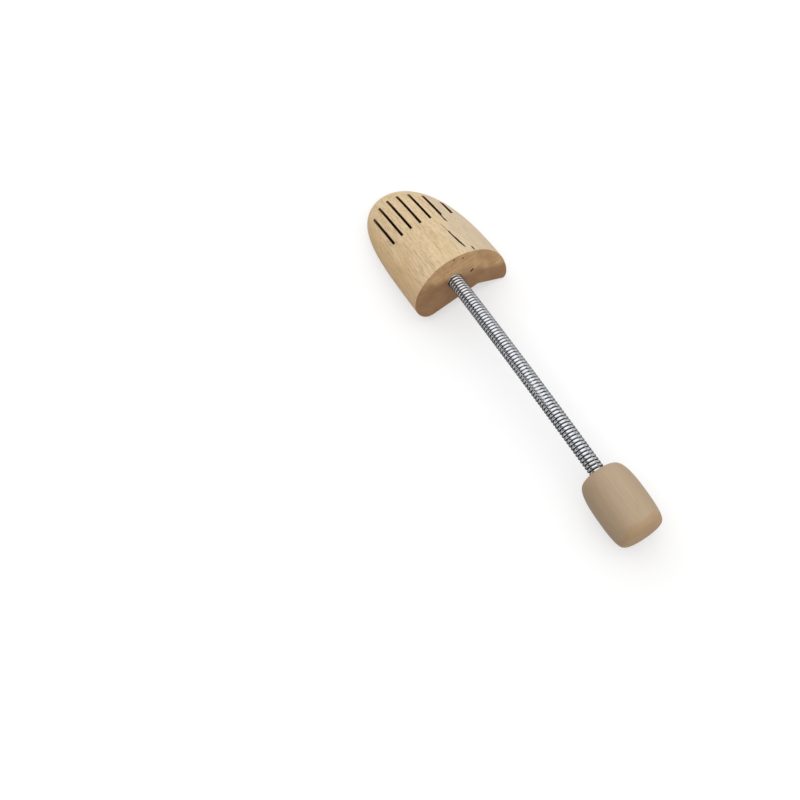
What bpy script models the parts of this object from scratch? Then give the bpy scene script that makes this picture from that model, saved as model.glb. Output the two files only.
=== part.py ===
"""A spiral shoe stretcher for a right shoe.

A wooden toe block fills the front of the shoe, a turned heel knob sits in its heel, and a
coiled steel spring joins them. A nail across each bore holds the spring between its turns.
Lengths are in metres. +Z is up, +X runs from the toe to the heel, +Y is the outer side of the
foot, and the origin is in the middle of the toe block's flat underside. The block's sawn heel
end is square to its bore, which rises a little towards the heel. The spring droops from there
until the knob lies level with the underside.
"""

import math

import bmesh
import bpy
from mathutils import Matrix, Vector

# Toe block
BLOCK_LENGTH = 0.096
BLOCK_WIDTH = 0.0612
BLOCK_HEIGHT = 0.0411
TOE_HEIGHT = 0.0142
NOSE_HEIGHT = 0.006
HEEL_END_SHIFT = 0.0018
TOE_END_SHIFT = -0.003
HOLLOW_DEPTH = 0.0084
HOLLOW_INNER_DEPTH = 0.0056
HOLLOW_LENGTH = 0.024
HOLLOW_CREST_Y = 0.0125
HOLLOW_INNER_WIDTH = 0.034
HOLLOW_OUTER_WIDTH = 0.0156

# Shares that shape the toe block's sections and outlines
INNER_WIDEST_SHARE = 0.45
OUTER_WIDEST_SHARE = 0.25
INNER_SOLE_SHARE = 0.72
OUTER_SOLE_SHARE = 0.86
CROWN_SHIFT_SHARE = -0.1
INNER_FLANK_POWER = 1.75
OUTER_FLANK_POWER = 2.2
SOLE_EDGE_POWER = 2.2
PLAN_POWER = 3.2
PLAN_ROOT = 2.2
TOP_FALL_POWER = 1.25
NOSE_POWER = 14

# Ventilation slots, cut by round saw blades that plunge from above. The sizes are the longest one's
SLOT_COUNT = 7
SLOT_SPACING = 0.0067
SLOT_WIDTH = 0.0016
SLOT_DEPTH = 0.0075
SLOT_LENGTH = 0.040
SLOT_TOE_DISTANCE = 0.013
SLOT_ROW_SHIFT = 0.003

# Spring
SPRING_DIAMETER = 0.009
WIRE_DIAMETER = 0.0017
FREE_LENGTH = 0.148
COIL_PITCH = 0.00216
AXIS_HEIGHT = 0.0222
BORE_RISE = math.radians(3.5)
BLOCK_TURNS = 6
KNOB_TURNS = 5
NAIL_TURN = 2
OPENED_TURNS = 1.5
BLOCK_PIVOT_SHARE = 0.25
KNOB_PIVOT_SHARE = 0.75
TAIL_BEND_RADIUS = 0.0017

# Heel knob
KNOB_LENGTH = 0.0394
KNOB_DIAMETER = 0.0292
NEAR_END_POWER = 2.3
NEAR_END_ROOT = 7
FAR_END_POWER = 2.5
FAR_END_ROOT = 11

# Nails that hold the spring
NAIL_DIAMETER = 0.0012
NAIL_HEAD_DIAMETER = 0.0026
NAIL_HEAD_THICKNESS = 0.0006
NAIL_HEAD_SINK = 0.0008
NAIL_POINT_LENGTH = 0.0018
NAIL_BITE = 0.0045

# Clearances
FIT_GAP = 0.0003
WIRE_TO_NAIL_GAP = 0.00035
REST_GAP = 0.00005
CUT_OVERRUN = 0.004

# Steps that set how fine the meshes are
SECTION_STEPS = 9
EDGE_STEPS = 5
SOLE_STEPS = 10
STATION_STEPS = 20
TURN_POINTS = 9
TAIL_STEPS = 4
PROFILE_STEPS = 12
ROUND_STEPS = 40
NAIL_STEPS = 12
SLOT_BLADE_STEPS = 72
SETTLE_STEPS = 30
MERGE_DISTANCE = 0.000001
SHARP_ANGLE = math.radians(40)

# Sizes that follow from the ones above
SOLE_SLOPE = math.tan(BORE_RISE)
REAR_X = BLOCK_LENGTH / 2 / math.cos(BORE_RISE)
SLOT_HEEL_DISTANCE = BLOCK_LENGTH - SLOT_TOE_DISTANCE - SLOT_LENGTH
FREE_TURNS = round(FREE_LENGTH / COIL_PITCH)
PITCH = FREE_LENGTH / FREE_TURNS
COIL_RADIUS = (SPRING_DIAMETER - WIRE_DIAMETER) / 2
BORE_RADIUS = SPRING_DIAMETER / 2 + FIT_GAP
OPENED_PITCH = WIRE_DIAMETER + NAIL_DIAMETER + 2 * WIRE_TO_NAIL_GAP
OPENED_EXTRA = OPENED_TURNS * (OPENED_PITCH - PITCH)
TAIL_LENGTH = TAIL_BEND_RADIUS + WIRE_DIAMETER
BLOCK_BORE_DEPTH = BLOCK_TURNS * PITCH + OPENED_EXTRA + TAIL_LENGTH + FIT_GAP
KNOB_BORE_DEPTH = KNOB_TURNS * PITCH + OPENED_EXTRA + TAIL_LENGTH + FIT_GAP
BLADE_RADIUS = (SLOT_LENGTH**2 / 4 + SLOT_DEPTH**2) / (2 * SLOT_DEPTH)
KNOB_OPENED_AT = BLOCK_TURNS + FREE_TURNS + NAIL_TURN
ALL_TURNS = BLOCK_TURNS + FREE_TURNS + KNOB_TURNS

WOOD_ROUGHNESS = 0.6
STEEL_ROUGHNESS = 0.15
NAIL_ROUGHNESS = 0.35
MILLIMETRE = 0.001

WOOD_TOP = (0.72, 0.55, 0.36, 1)
WOOD_KNOB = (0.52, 0.38, 0.24, 1)
STEEL = (0.75, 0.76, 0.78, 1)
NAIL_STEEL = (0.45, 0.45, 0.46, 1)


def clear_scene():
    for found in list(bpy.data.objects):
        bpy.data.objects.remove(found, do_unlink=True)


def make_collection(name):
    collection = bpy.data.collections.new(name)
    bpy.context.scene.collection.children.link(collection)
    return collection


def material(name, colour, roughness, metallic):
    made = bpy.data.materials.new(name)
    made.use_nodes = True
    shader = made.node_tree.nodes["Principled BSDF"]
    shader.inputs["Base Color"].default_value = colour
    shader.inputs["Roughness"].default_value = roughness
    shader.inputs["Metallic"].default_value = metallic
    return made


def add_object(name, data, collection, location=(0, 0, 0), tilt=0):
    """An object at a place, turned about the Y axis by tilt."""
    made = bpy.data.objects.new(name, data)
    made.location = location
    made.rotation_euler = (0, tilt, 0)
    collection.objects.link(made)
    return made


def hang_on(child, pivot):
    """Parents a piece to a pivot and keeps it where it is."""
    bpy.context.view_layer.update()
    child.parent = pivot
    child.location = child.location - pivot.matrix_world.translation


def make_cutter(cutter):
    cutter.hide_render = True
    cutter.display_type = "WIRE"
    return cutter


def cut(target, cutter):
    modifier = target.modifiers.new("cut_" + cutter.name, "BOOLEAN")
    modifier.operation = "DIFFERENCE"
    modifier.object = cutter


def finish_mesh(name, grid):
    mesh = bpy.data.meshes.new(name)
    bmesh.ops.recalc_face_normals(grid, faces=grid.faces)
    grid.to_mesh(mesh)
    grid.free()
    mesh.shade_smooth()
    mesh.set_sharp_from_angle(angle=SHARP_ANGLE)
    return mesh


def turned(name, profile, steps, collection, location, tilt):
    """A turned piece. Its profile of (radius, height) pairs runs from its top down to its bottom.

    It is spun by half a step, so that the edges of crossing pieces don't meet.
    """
    mesh = bpy.data.meshes.new(name)
    points = [(radius, 0, height) for radius, height in profile]
    mesh.from_pydata(points, [(i, i + 1) for i in range(len(points) - 1)], [])
    made = add_object(name, mesh, collection, location, tilt)
    made.rotation_mode = "ZYX"
    made.rotation_euler.z = math.pi / steps
    screw = made.modifiers.new("turn", "SCREW")
    screw.axis = "Z"
    screw.steps = steps
    screw.render_steps = steps
    screw.use_merge_vertices = True
    screw.merge_threshold = MERGE_DISTANCE
    screw.use_smooth_shade = True
    return made


def power(value, exponent):
    return max(value, 0) ** exponent


# The toe block's form, in its own frame: X along the bore, the origin at the foot of the heel end


def half_width(along):
    """Half the block's width at a share of its length, from the heel end to the toe."""
    return BLOCK_WIDTH / 2 * power(1 - along**PLAN_POWER, 1 / PLAN_ROOT)


def centre_line(along):
    return HEEL_END_SHIFT + (TOE_END_SHIFT - HEEL_END_SHIFT) * along**2


def nose_share(along):
    return power(1 - along**NOSE_POWER, 1 / 2)


def sole_line(along):
    """Height of the flat underside, which nears the bore towards the toe."""
    return BLOCK_LENGTH * along * SOLE_SLOPE


def base_height(along):
    return sole_line(along) + NOSE_HEIGHT * (1 - nose_share(along))


def crown_height(along):
    fall = BLOCK_HEIGHT - TOE_HEIGHT - sole_line(1)
    nose = sole_line(along) + NOSE_HEIGHT
    return nose + (BLOCK_HEIGHT - fall * along**TOP_FALL_POWER - nose) * nose_share(along)


def sole_height(along, y):
    """Height of the underside: flat, hollowed at the heel end and turned up at the nose."""
    inner = y < HOLLOW_CREST_Y
    across = min(abs(y - HOLLOW_CREST_Y) / (HOLLOW_INNER_WIDTH if inner else HOLLOW_OUTER_WIDTH), 1)
    hollow = HOLLOW_DEPTH + across * ((HOLLOW_INNER_DEPTH if inner else 0) - HOLLOW_DEPTH)
    fade = max(1 - along * BLOCK_LENGTH / HOLLOW_LENGTH, 0)
    return hollow * fade**2 + base_height(along)


def flank(along, outer):
    """The widest point, its height and the flank's power on one side of a section."""
    side = 1 if outer else -1
    share = OUTER_WIDEST_SHARE if outer else INNER_WIDEST_SHARE
    base = base_height(along)
    height = base + share * (crown_height(along) - base)
    return side * half_width(along), height, OUTER_FLANK_POWER if outer else INNER_FLANK_POWER


def top_point(along, outer, turn):
    """A point of the domed top: turn is 0 at the crown and a quarter turn at the widest point."""
    width, height, bulge = flank(along, outer)
    crown = CROWN_SHIFT_SHARE * half_width(along)
    y = crown + (width - crown) * power(math.sin(turn), 2 / bulge)
    z = height + (crown_height(along) - height) * power(math.cos(turn), 2 / bulge)
    return y, z


def top_height(along, y):
    """Height of the domed top above a place y, measured from the block's centre line."""
    width, height, bulge = flank(along, y > CROWN_SHIFT_SHARE * half_width(along))
    crown = CROWN_SHIFT_SHARE * half_width(along)
    out = (y - crown) / (width - crown)
    return height + (crown_height(along) - height) * power(1 - out**bulge, 1 / bulge)


def edge_point(along, outer, turn):
    """A point of the rounded lower edge: turn is 0 at the widest point, a quarter turn at the sole."""
    width, height, _ = flank(along, outer)
    foot = width * (OUTER_SOLE_SHARE if outer else INNER_SOLE_SHARE)
    drop = height - sole_height(along, foot + centre_line(along))
    y = foot + (width - foot) * power(math.cos(turn), 2 / SOLE_EDGE_POWER)
    return y, height - drop * power(math.sin(turn), 2 / SOLE_EDGE_POWER)


def section(along):
    """The closed outline of the block at a share of its length, as (y, z) pairs."""
    quarter = math.pi / 2
    points = [top_point(along, True, quarter * i / SECTION_STEPS) for i in range(SECTION_STEPS)]
    points += [edge_point(along, True, quarter * i / EDGE_STEPS) for i in range(EDGE_STEPS)]
    outer_foot = edge_point(along, True, quarter)[0]
    inner_foot = edge_point(along, False, quarter)[0]
    shift = centre_line(along)
    for i in range(SOLE_STEPS + 1):
        y = outer_foot + (inner_foot - outer_foot) * i / SOLE_STEPS
        points.append((y, sole_height(along, y + shift)))
    points += [edge_point(along, False, quarter * i / EDGE_STEPS) for i in range(EDGE_STEPS - 1, 0, -1)]
    points += [top_point(along, False, quarter * i / SECTION_STEPS) for i in range(SECTION_STEPS, 0, -1)]
    return [(y + shift, z) for y, z in points]


def block_mesh():
    """A loft through the block's sections, closed by the sawn heel end and by the nose's tip."""
    grid = bmesh.new()
    rings = []
    for i in range(STATION_STEPS):
        along = math.sin(math.pi / 2 * i / STATION_STEPS)
        rings.append([grid.verts.new((-BLOCK_LENGTH * along, y, z)) for y, z in section(along)])
    for ring, following in zip(rings, rings[1:]):
        for i in range(len(ring)):
            j = (i + 1) % len(ring)
            grid.faces.new((ring[i], ring[j], following[j], following[i]))
    grid.faces.new(rings[0])
    tip = grid.verts.new((-BLOCK_LENGTH, TOE_END_SHIFT, sole_line(1) + NOSE_HEIGHT))
    for i, vertex in enumerate(rings[-1]):
        grid.faces.new((vertex, tip, rings[-1][(i + 1) % len(rings[-1])]))
    return finish_mesh("toe_block", grid)


def on_block(piece):
    """Places a piece that is modelled in the block's own frame."""
    piece.location = (REAR_X, 0, 0)
    piece.rotation_euler = (0, -BORE_RISE, 0)
    return piece


def outline_reach(y):
    """The share of the block's length at which its outline narrows to a place y."""
    low, high = 0, 1
    for _ in range(SETTLE_STEPS):
        middle = (low + high) / 2
        if abs(y - centre_line(middle)) < half_width(middle):
            low = middle
        else:
            high = middle
    return low


def add_blade(grid, y, start, end):
    """A blade that leaves the domed top at two distances ahead of the heel end."""
    shares = [ahead / BLOCK_LENGTH for ahead in (start, end)]
    heights = [top_height(share, y - centre_line(share)) for share in shares]
    fall = math.atan2(heights[0] - heights[1], end - start)
    radius = BLADE_RADIUS * (end - start) / SLOT_LENGTH
    lift = math.sqrt(radius**2 - ((end - start) / 2 / math.cos(fall)) ** 2)
    x = -(start + end) / 2 - math.sin(fall) * lift
    z = sum(heights) / 2 + math.cos(fall) * lift
    bmesh.ops.create_cone(
        grid,
        cap_ends=True,
        segments=SLOT_BLADE_STEPS,
        radius1=radius,
        radius2=radius,
        depth=SLOT_WIDTH,
        matrix=Matrix.Translation((x, y, z)) @ Matrix.Rotation(math.pi / 2, 4, "X"),
    )


def slot_blades(collection):
    """One blade for each slot. Towards the sides the nose is nearer, so these slots are smaller."""
    grid = bmesh.new()
    for i in range(SLOT_COUNT):
        y = SLOT_ROW_SHIFT + SLOT_SPACING * (i - (SLOT_COUNT - 1) / 2)
        end = BLOCK_LENGTH * outline_reach(y) - SLOT_TOE_DISTANCE
        if end - SLOT_HEEL_DISTANCE > SLOT_DEPTH:
            add_blade(grid, y, SLOT_HEEL_DISTANCE, end)
    blades = add_object("slot_blades", finish_mesh("slot_blades", grid), collection)
    return make_cutter(on_block(blades))


# The spring's line: straight in the bores, with an even bend between them


def knob_profile():
    """The knob's outline as (radius, distance from its near end) pairs, far end first."""
    points = []
    for end, exponent, root in ((1, FAR_END_POWER, FAR_END_ROOT), (-1, NEAR_END_POWER, NEAR_END_ROOT)):
        half = []
        for i in range(PROFILE_STEPS + 1):
            turn = math.pi / 2 * i / PROFILE_STEPS
            distance = KNOB_LENGTH / 2 * (1 + end * power(math.cos(turn), 2 / exponent))
            half.append((KNOB_DIAMETER / 2 * power(math.sin(turn), 2 / root), distance))
        points += half if end > 0 else half[-2::-1]
    return points


def bent_line(distance, bend):
    """A place at a distance behind the block on a line that bends down evenly, and its slope."""
    on_arc = min(max(distance, 0), FREE_LENGTH)
    turned_by = bend * on_arc / FREE_LENGTH
    slope = turned_by - BORE_RISE
    chord = on_arc * (math.sin(turned_by / 2) / (turned_by / 2) if turned_by else 1)
    chord_slope = turned_by / 2 - BORE_RISE
    straight = distance - on_arc
    x = REAR_X - AXIS_HEIGHT * math.sin(BORE_RISE)
    z = AXIS_HEIGHT * math.cos(BORE_RISE)
    x += chord * math.cos(chord_slope) + straight * math.cos(slope)
    z -= chord * math.sin(chord_slope) + straight * math.sin(slope)
    return Vector((x, 0, z)), slope


def knob_underside(bend):
    """Height of the knob's lowest point."""
    end, slope = bent_line(FREE_LENGTH, bend)
    return min(
        end.z - distance * math.sin(slope) - radius * math.cos(slope)
        for radius, distance in knob_profile()
    )


def find_bend():
    """The bend that lets the knob down to the level of the sole."""
    low, high = 0, math.pi / 2
    for _ in range(SETTLE_STEPS):
        middle = (low + high) / 2
        if knob_underside(middle) > REST_GAP:
            low = middle
        else:
            high = middle
    return low


BEND = find_bend()


def line_at(distance):
    return bent_line(distance, BEND)


def wire_point(distance, turn):
    """A point of the wire's centre line. A whole turn is at the underside."""
    place, slope = line_at(distance)
    upward = Vector((math.sin(slope), 0, math.cos(slope)))
    angle = 2 * math.pi * turn + math.pi
    return place + COIL_RADIUS * (math.cos(angle) * upward + math.sin(angle) * Vector((0, 1, 0)))


def opened(turn, start):
    return OPENED_EXTRA * min(max((turn - start) / OPENED_TURNS, 0), 1)


def coil_distance(turn):
    """Distance behind the block of a turn. The pitch opens where the nails pass."""
    closed = (turn - BLOCK_TURNS) * PITCH - OPENED_EXTRA
    return closed + opened(turn, NAIL_TURN) + opened(turn, KNOB_OPENED_AT)


def tail_points(turn, way):
    """The wire's end, which bends on the coil's cylinder until it runs along the axis."""
    points = []
    distance = coil_distance(turn)
    start = math.atan2(PITCH, 2 * math.pi * COIL_RADIUS)
    step = (math.pi / 2 - start) / TAIL_STEPS
    for i in range(TAIL_STEPS):
        lead = start + step * (i + 1 / 2)
        run = TAIL_BEND_RADIUS * step
        distance += way * run * math.sin(lead)
        turn += way * run * math.cos(lead) / (2 * math.pi * COIL_RADIUS)
        points.append(wire_point(distance, turn))
    points.append(wire_point(distance + way * WIRE_DIAMETER, turn))
    return points


def wire_path():
    count = ALL_TURNS * TURN_POINTS
    coil = [wire_point(coil_distance(i / TURN_POINTS), i / TURN_POINTS) for i in range(count + 1)]
    return tail_points(0, -1)[::-1] + coil + tail_points(ALL_TURNS, 1)


def least_gap(path):
    """The least gap between the wire and itself, over points at least half a turn apart."""
    apart = TURN_POINTS // 2 + 1
    nearest = min(
        (path[i] - path[j]).length
        for i in range(len(path))
        for j in range(i + apart, min(i + 3 * TURN_POINTS, len(path)))
    )
    return nearest - WIRE_DIAMETER


def spiral_spring(collection, pivot):
    path = wire_path()
    print(f"least gap of the spring to itself: {least_gap(path) / MILLIMETRE:.3f} mm")
    curve = bpy.data.curves.new("spiral_spring", "CURVE")
    curve.dimensions = "3D"
    curve.bevel_depth = WIRE_DIAMETER / 2
    curve.bevel_resolution = 1
    curve.use_fill_caps = True
    spline = curve.splines.new("POLY")
    spline.points.add(len(path) - 1)
    for point, place in zip(spline.points, path):
        point.co = (*(place - pivot.location), 1)
    curve.materials.append(material("bright_steel", STEEL, STEEL_ROUGHNESS, 1))
    made = add_object("spiral_spring", curve, collection)
    made.parent = pivot
    return made


# The nails


def nail_line(opened_at):
    """Where a nail crosses the spring's centre line, as a distance, and its lean towards the heel."""
    below = (coil_distance(opened_at) + coil_distance(opened_at + 1)) / 2
    above = (coil_distance(opened_at + 1 / 2) + coil_distance(opened_at + OPENED_TURNS)) / 2
    return (below + above) / 2, math.atan2(above - below, 2 * COIL_RADIUS)


def nail_profile(length):
    shank, head = NAIL_DIAMETER / 2, NAIL_HEAD_DIAMETER / 2
    return [
        (0, length),
        (shank, length - NAIL_POINT_LENGTH),
        (shank, NAIL_HEAD_THICKNESS),
        (head, NAIL_HEAD_THICKNESS),
        (head, 0),
        (0, 0),
    ]


def nail_hole_profile(length):
    shank, head = NAIL_DIAMETER / 2 + FIT_GAP, NAIL_HEAD_DIAMETER / 2 + FIT_GAP
    return [
        (0, length + FIT_GAP),
        (shank, length + FIT_GAP),
        (shank, NAIL_HEAD_THICKNESS + FIT_GAP),
        (head, NAIL_HEAD_THICKNESS + FIT_GAP),
        (head, -CUT_OVERRUN),
        (0, -CUT_OVERRUN),
    ]


def add_nail(name, opened_at, surface_radius, parts, cutters):
    """A nail driven from below across the bore, and the cutter of its hole."""
    crossing, lean = nail_line(opened_at)
    place, slope = line_at(crossing)
    sunk = surface_radius - NAIL_HEAD_SINK
    direction = Vector((math.sin(slope + lean), 0, math.cos(slope + lean)))
    start = place - direction * (sunk / math.cos(lean))
    length = (sunk + BORE_RADIUS + NAIL_BITE) / math.cos(lean)
    hole = turned(name + "_hole", nail_hole_profile(length), NAIL_STEPS, cutters, start, slope + lean)
    nail = turned(name, nail_profile(length), NAIL_STEPS, parts, start, slope + lean)
    nail.data.materials.append(material(name + "_steel", NAIL_STEEL, NAIL_ROUGHNESS, 1))
    return nail, make_cutter(hole)


# The wooden pieces


def bore_cutter(name, entry, depth, towards, collection):
    """A drill as wide as the bore, from outside the entry to the bore's flat floor."""
    profile = [(0, depth), (BORE_RADIUS, depth), (BORE_RADIUS, -CUT_OVERRUN), (0, -CUT_OVERRUN)]
    return make_cutter(turned(name, profile, ROUND_STEPS, collection, entry, towards))


def toe_block(parts, cutters):
    block = on_block(add_object("toe_block", block_mesh(), parts))
    block.data.materials.append(material("pale_wood", WOOD_TOP, WOOD_ROUGHNESS, 0))
    entry, slope = line_at(0)
    crossing, lean = nail_line(NAIL_TURN)
    heel_distance = -crossing + math.sin(lean) * AXIS_HEIGHT
    sole = sole_height(heel_distance / BLOCK_LENGTH, 0)
    _, hole = add_nail("toe_spring_nail", NAIL_TURN, AXIS_HEIGHT - sole, parts, cutters)
    cut(block, slot_blades(cutters))
    cut(block, bore_cutter("block_drill", entry, BLOCK_BORE_DEPTH, slope - math.pi / 2, cutters))
    cut(block, hole)


def knob_radius_at(distance):
    """The knob's radius at a distance from its near end."""
    profile = knob_profile()
    for (radius, far), (next_radius, near) in zip(profile, profile[1:]):
        if near <= distance <= far:
            share = (distance - near) / (far - near)
            return next_radius + share * (radius - next_radius)
    return 0


def heel_knob(parts, cutters, pivot):
    entry, slope = line_at(FREE_LENGTH)
    towards = slope + math.pi / 2
    knob = turned("heel_knob", knob_profile(), ROUND_STEPS, parts, entry, towards)
    knob.data.materials.append(material("turned_wood", WOOD_KNOB, WOOD_ROUGHNESS, 0))
    crossing, lean = nail_line(KNOB_OPENED_AT)
    foot = crossing - FREE_LENGTH - math.tan(lean) * KNOB_DIAMETER / 2
    nail, hole = add_nail("knob_spring_nail", KNOB_OPENED_AT, knob_radius_at(foot), parts, cutters)
    cut(knob, bore_cutter("knob_drill", entry, KNOB_BORE_DEPTH, towards, cutters))
    cut(knob, hole)
    hang_on(knob, pivot)
    hang_on(nail, pivot)


def add_pivot(name, share, collection):
    place, _ = line_at(FREE_LENGTH * share)
    return add_object(name, None, collection, place)


def main():
    clear_scene()
    parts = make_collection("shoe_stretcher")
    cutters = make_collection("cutters")
    block_pivot = add_pivot("block_pivot", BLOCK_PIVOT_SHARE, parts)
    knob_pivot = add_pivot("knob_pivot", KNOB_PIVOT_SHARE, parts)
    hang_on(knob_pivot, block_pivot)
    toe_block(parts, cutters)
    spiral_spring(parts, block_pivot)
    heel_knob(parts, cutters, knob_pivot)


main()
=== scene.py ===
"""The looks of the spiral shoe stretcher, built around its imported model.

Lengths are in metres in the model's frame: +Z is up, +X runs from the toe to the heel, +Y is the
outer side of the foot, and the origin is in the middle of the toe block's flat underside.
"""

import math

import bmesh
import bpy
from mathutils import Matrix, Vector


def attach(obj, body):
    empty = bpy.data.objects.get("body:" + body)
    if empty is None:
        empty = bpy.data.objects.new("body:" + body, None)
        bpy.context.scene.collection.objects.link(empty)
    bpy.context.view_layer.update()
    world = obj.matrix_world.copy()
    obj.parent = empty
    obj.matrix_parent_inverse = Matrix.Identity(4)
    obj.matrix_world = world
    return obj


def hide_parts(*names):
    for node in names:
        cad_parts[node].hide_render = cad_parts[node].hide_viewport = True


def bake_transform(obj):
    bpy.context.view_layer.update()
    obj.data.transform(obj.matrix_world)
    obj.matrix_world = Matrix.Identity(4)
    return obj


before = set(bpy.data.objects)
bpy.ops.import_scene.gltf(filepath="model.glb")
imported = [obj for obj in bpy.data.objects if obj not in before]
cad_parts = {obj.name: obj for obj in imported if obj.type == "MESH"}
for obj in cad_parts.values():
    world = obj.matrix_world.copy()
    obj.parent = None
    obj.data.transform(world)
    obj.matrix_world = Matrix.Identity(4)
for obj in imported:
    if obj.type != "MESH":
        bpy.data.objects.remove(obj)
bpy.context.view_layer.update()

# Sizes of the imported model
BLOCK_LENGTH = 0.096
BLOCK_WIDTH = 0.0612
BLOCK_HEIGHT = 0.0411
TOE_HEIGHT = 0.0142
NOSE_HEIGHT = 0.006
HEEL_END_SHIFT = 0.0018
TOE_END_SHIFT = -0.003
HOLLOW_DEPTH = 0.0084
HOLLOW_INNER_DEPTH = 0.0056
HOLLOW_LENGTH = 0.024
HOLLOW_CREST_Y = 0.0125
HOLLOW_INNER_WIDTH = 0.034
HOLLOW_OUTER_WIDTH = 0.0156
INNER_WIDEST_SHARE = 0.45
OUTER_WIDEST_SHARE = 0.25
INNER_SOLE_SHARE = 0.72
OUTER_SOLE_SHARE = 0.86
CROWN_SHIFT_SHARE = -0.1
INNER_FLANK_POWER = 1.75
OUTER_FLANK_POWER = 2.2
SOLE_EDGE_POWER = 2.2
PLAN_POWER = 3.2
PLAN_ROOT = 2.2
TOP_FALL_POWER = 1.25
NOSE_POWER = 14
SLOT_COUNT = 7
SLOT_SPACING = 0.0067
SLOT_WIDTH = 0.0016
SLOT_DEPTH = 0.0075
SLOT_LENGTH = 0.040
SLOT_TOE_DISTANCE = 0.013
SLOT_ROW_SHIFT = 0.003
SPRING_DIAMETER = 0.009
WIRE_DIAMETER = 0.0017
FREE_LENGTH = 0.148
COIL_PITCH = 0.00216
AXIS_HEIGHT = 0.0222
BORE_RISE = math.radians(3.5)
BLOCK_TURNS = 6
KNOB_TURNS = 5
NAIL_TURN = 2
OPENED_TURNS = 1.5
TAIL_BEND_RADIUS = 0.0017
KNOB_LENGTH = 0.0394
KNOB_DIAMETER = 0.0292
NEAR_END_POWER = 2.3
NEAR_END_ROOT = 7
FAR_END_POWER = 2.5
FAR_END_ROOT = 11
NAIL_DIAMETER = 0.0012
NAIL_HEAD_DIAMETER = 0.0026
NAIL_HEAD_THICKNESS = 0.0006
NAIL_HEAD_SINK = 0.0008
NAIL_POINT_LENGTH = 0.0018
NAIL_BITE = 0.0045
FIT_GAP = 0.0003
WIRE_TO_NAIL_GAP = 0.00035
REST_GAP = 0.00005
CUT_OVERRUN = 0.004

# Details of the surfaces
ARRIS_RADIUS = 0.0005
BORE_BREAK = 0.0003
NAIL_CHAMFER_SHARE = 1 / 4
NAIL_TIP_SHARES = (1 / 8, 1 / 12)
CRACK_DEPTH_SHARE = 3.5
CRACK_WANDER_DIVISORS = (-25, 20)

# Cracks in the domed top, as (distance ahead of the heel end, y, width) points
CRACKS = {
    "long_crack": (
        (0.0330, 0.0116, 0.0001),
        (0.0285, 0.0119, 0.0003),
        (0.0248, 0.0124, 0.0002),
        (0.0236, 0.0125, 0.0009),
        (0.0196, 0.0127, 0.0008),
        (0.0150, 0.0130, 0.0011),
        (0.0100, 0.0135, 0.0011),
        (0.0062, 0.0139, 0.0008),
        (0.0046, 0.0141, 0.0001),
    ),
    "slot_crack": (
        (0.0440, 0.0162, 0.0008),
        (0.0395, 0.0160, 0.0007),
        (0.0362, 0.0161, 0.0010),
        (0.0334, 0.0164, 0.0001),
    ),
    "edge_crack": (
        (0.0050, 0.0172, 0.0001),
        (0.0034, 0.0174, 0.0008),
        (0.0014, 0.0175, 0.0007),
        (0.0004, 0.0176, 0.0003),
    ),
}

# Pits in the sawn heel end, as (y, z, half length, half width, lean)
PITS = (
    (0.0037, 0.0392, 0.0006, 0.0004, 0),
    (0.0090, 0.0365, 0.0007, 0.0004, 0.6),
    (0.0116, 0.0227, 0.0015, 0.0006, 0.5),
    (-0.0022, 0.0330, 0.0004, 0.0003, 0.3),
)
PIT_DEPTH = 0.0016

# Steps that set how fine the meshes are
SECTION_STEPS = 30
EDGE_STEPS = 14
SOLE_STEPS = 40
STATION_STEPS = 90
ARRIS_STEPS = 4
TURN_POINTS = 40
TAIL_STEPS = 12
WIRE_SIDES = 16
PROFILE_STEPS = 48
PROFILE_CROWD_POWER = 1.6
ROUND_STEPS = 128
NAIL_STEPS = 40
SLOT_BLADE_STEPS = 288
SETTLE_STEPS = 30
CRACK_STEPS = 8
PIT_STEPS = 16
SHARP_ANGLE = math.radians(35)

# Sizes that follow from the ones above
SOLE_SLOPE = math.tan(BORE_RISE)
REAR_X = BLOCK_LENGTH / 2 / math.cos(BORE_RISE)
SLOT_HEEL_DISTANCE = BLOCK_LENGTH - SLOT_TOE_DISTANCE - SLOT_LENGTH
FREE_TURNS = round(FREE_LENGTH / COIL_PITCH)
PITCH = FREE_LENGTH / FREE_TURNS
COIL_RADIUS = (SPRING_DIAMETER - WIRE_DIAMETER) / 2
BORE_RADIUS = SPRING_DIAMETER / 2 + FIT_GAP
OPENED_PITCH = WIRE_DIAMETER + NAIL_DIAMETER + 2 * WIRE_TO_NAIL_GAP
OPENED_EXTRA = OPENED_TURNS * (OPENED_PITCH - PITCH)
TAIL_LENGTH = TAIL_BEND_RADIUS + WIRE_DIAMETER
BLOCK_BORE_DEPTH = BLOCK_TURNS * PITCH + OPENED_EXTRA + TAIL_LENGTH + FIT_GAP
KNOB_BORE_DEPTH = KNOB_TURNS * PITCH + OPENED_EXTRA + TAIL_LENGTH + FIT_GAP
BLADE_RADIUS = (SLOT_LENGTH**2 / 4 + SLOT_DEPTH**2) / (2 * SLOT_DEPTH)
KNOB_OPENED_AT = BLOCK_TURNS + FREE_TURNS + NAIL_TURN
ALL_TURNS = BLOCK_TURNS + FREE_TURNS + KNOB_TURNS


def add_object(name, data):
    made = bpy.data.objects.new(name, data)
    bpy.context.scene.collection.objects.link(made)
    return made


def add_piece(name, mesh, own_frame):
    """A piece modelled in a frame of its own. The mesh is moved there, and the object stays at the origin."""
    mesh.transform(own_frame)
    return add_object(name, mesh)


def add_cutter(name, mesh, own_frame):
    """A shape that is cut away. The faces that it leaves take the second material of what it cuts."""
    mesh.polygons.foreach_set("material_index", [1] * len(mesh.polygons))
    return add_piece(name, mesh, own_frame)


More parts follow.
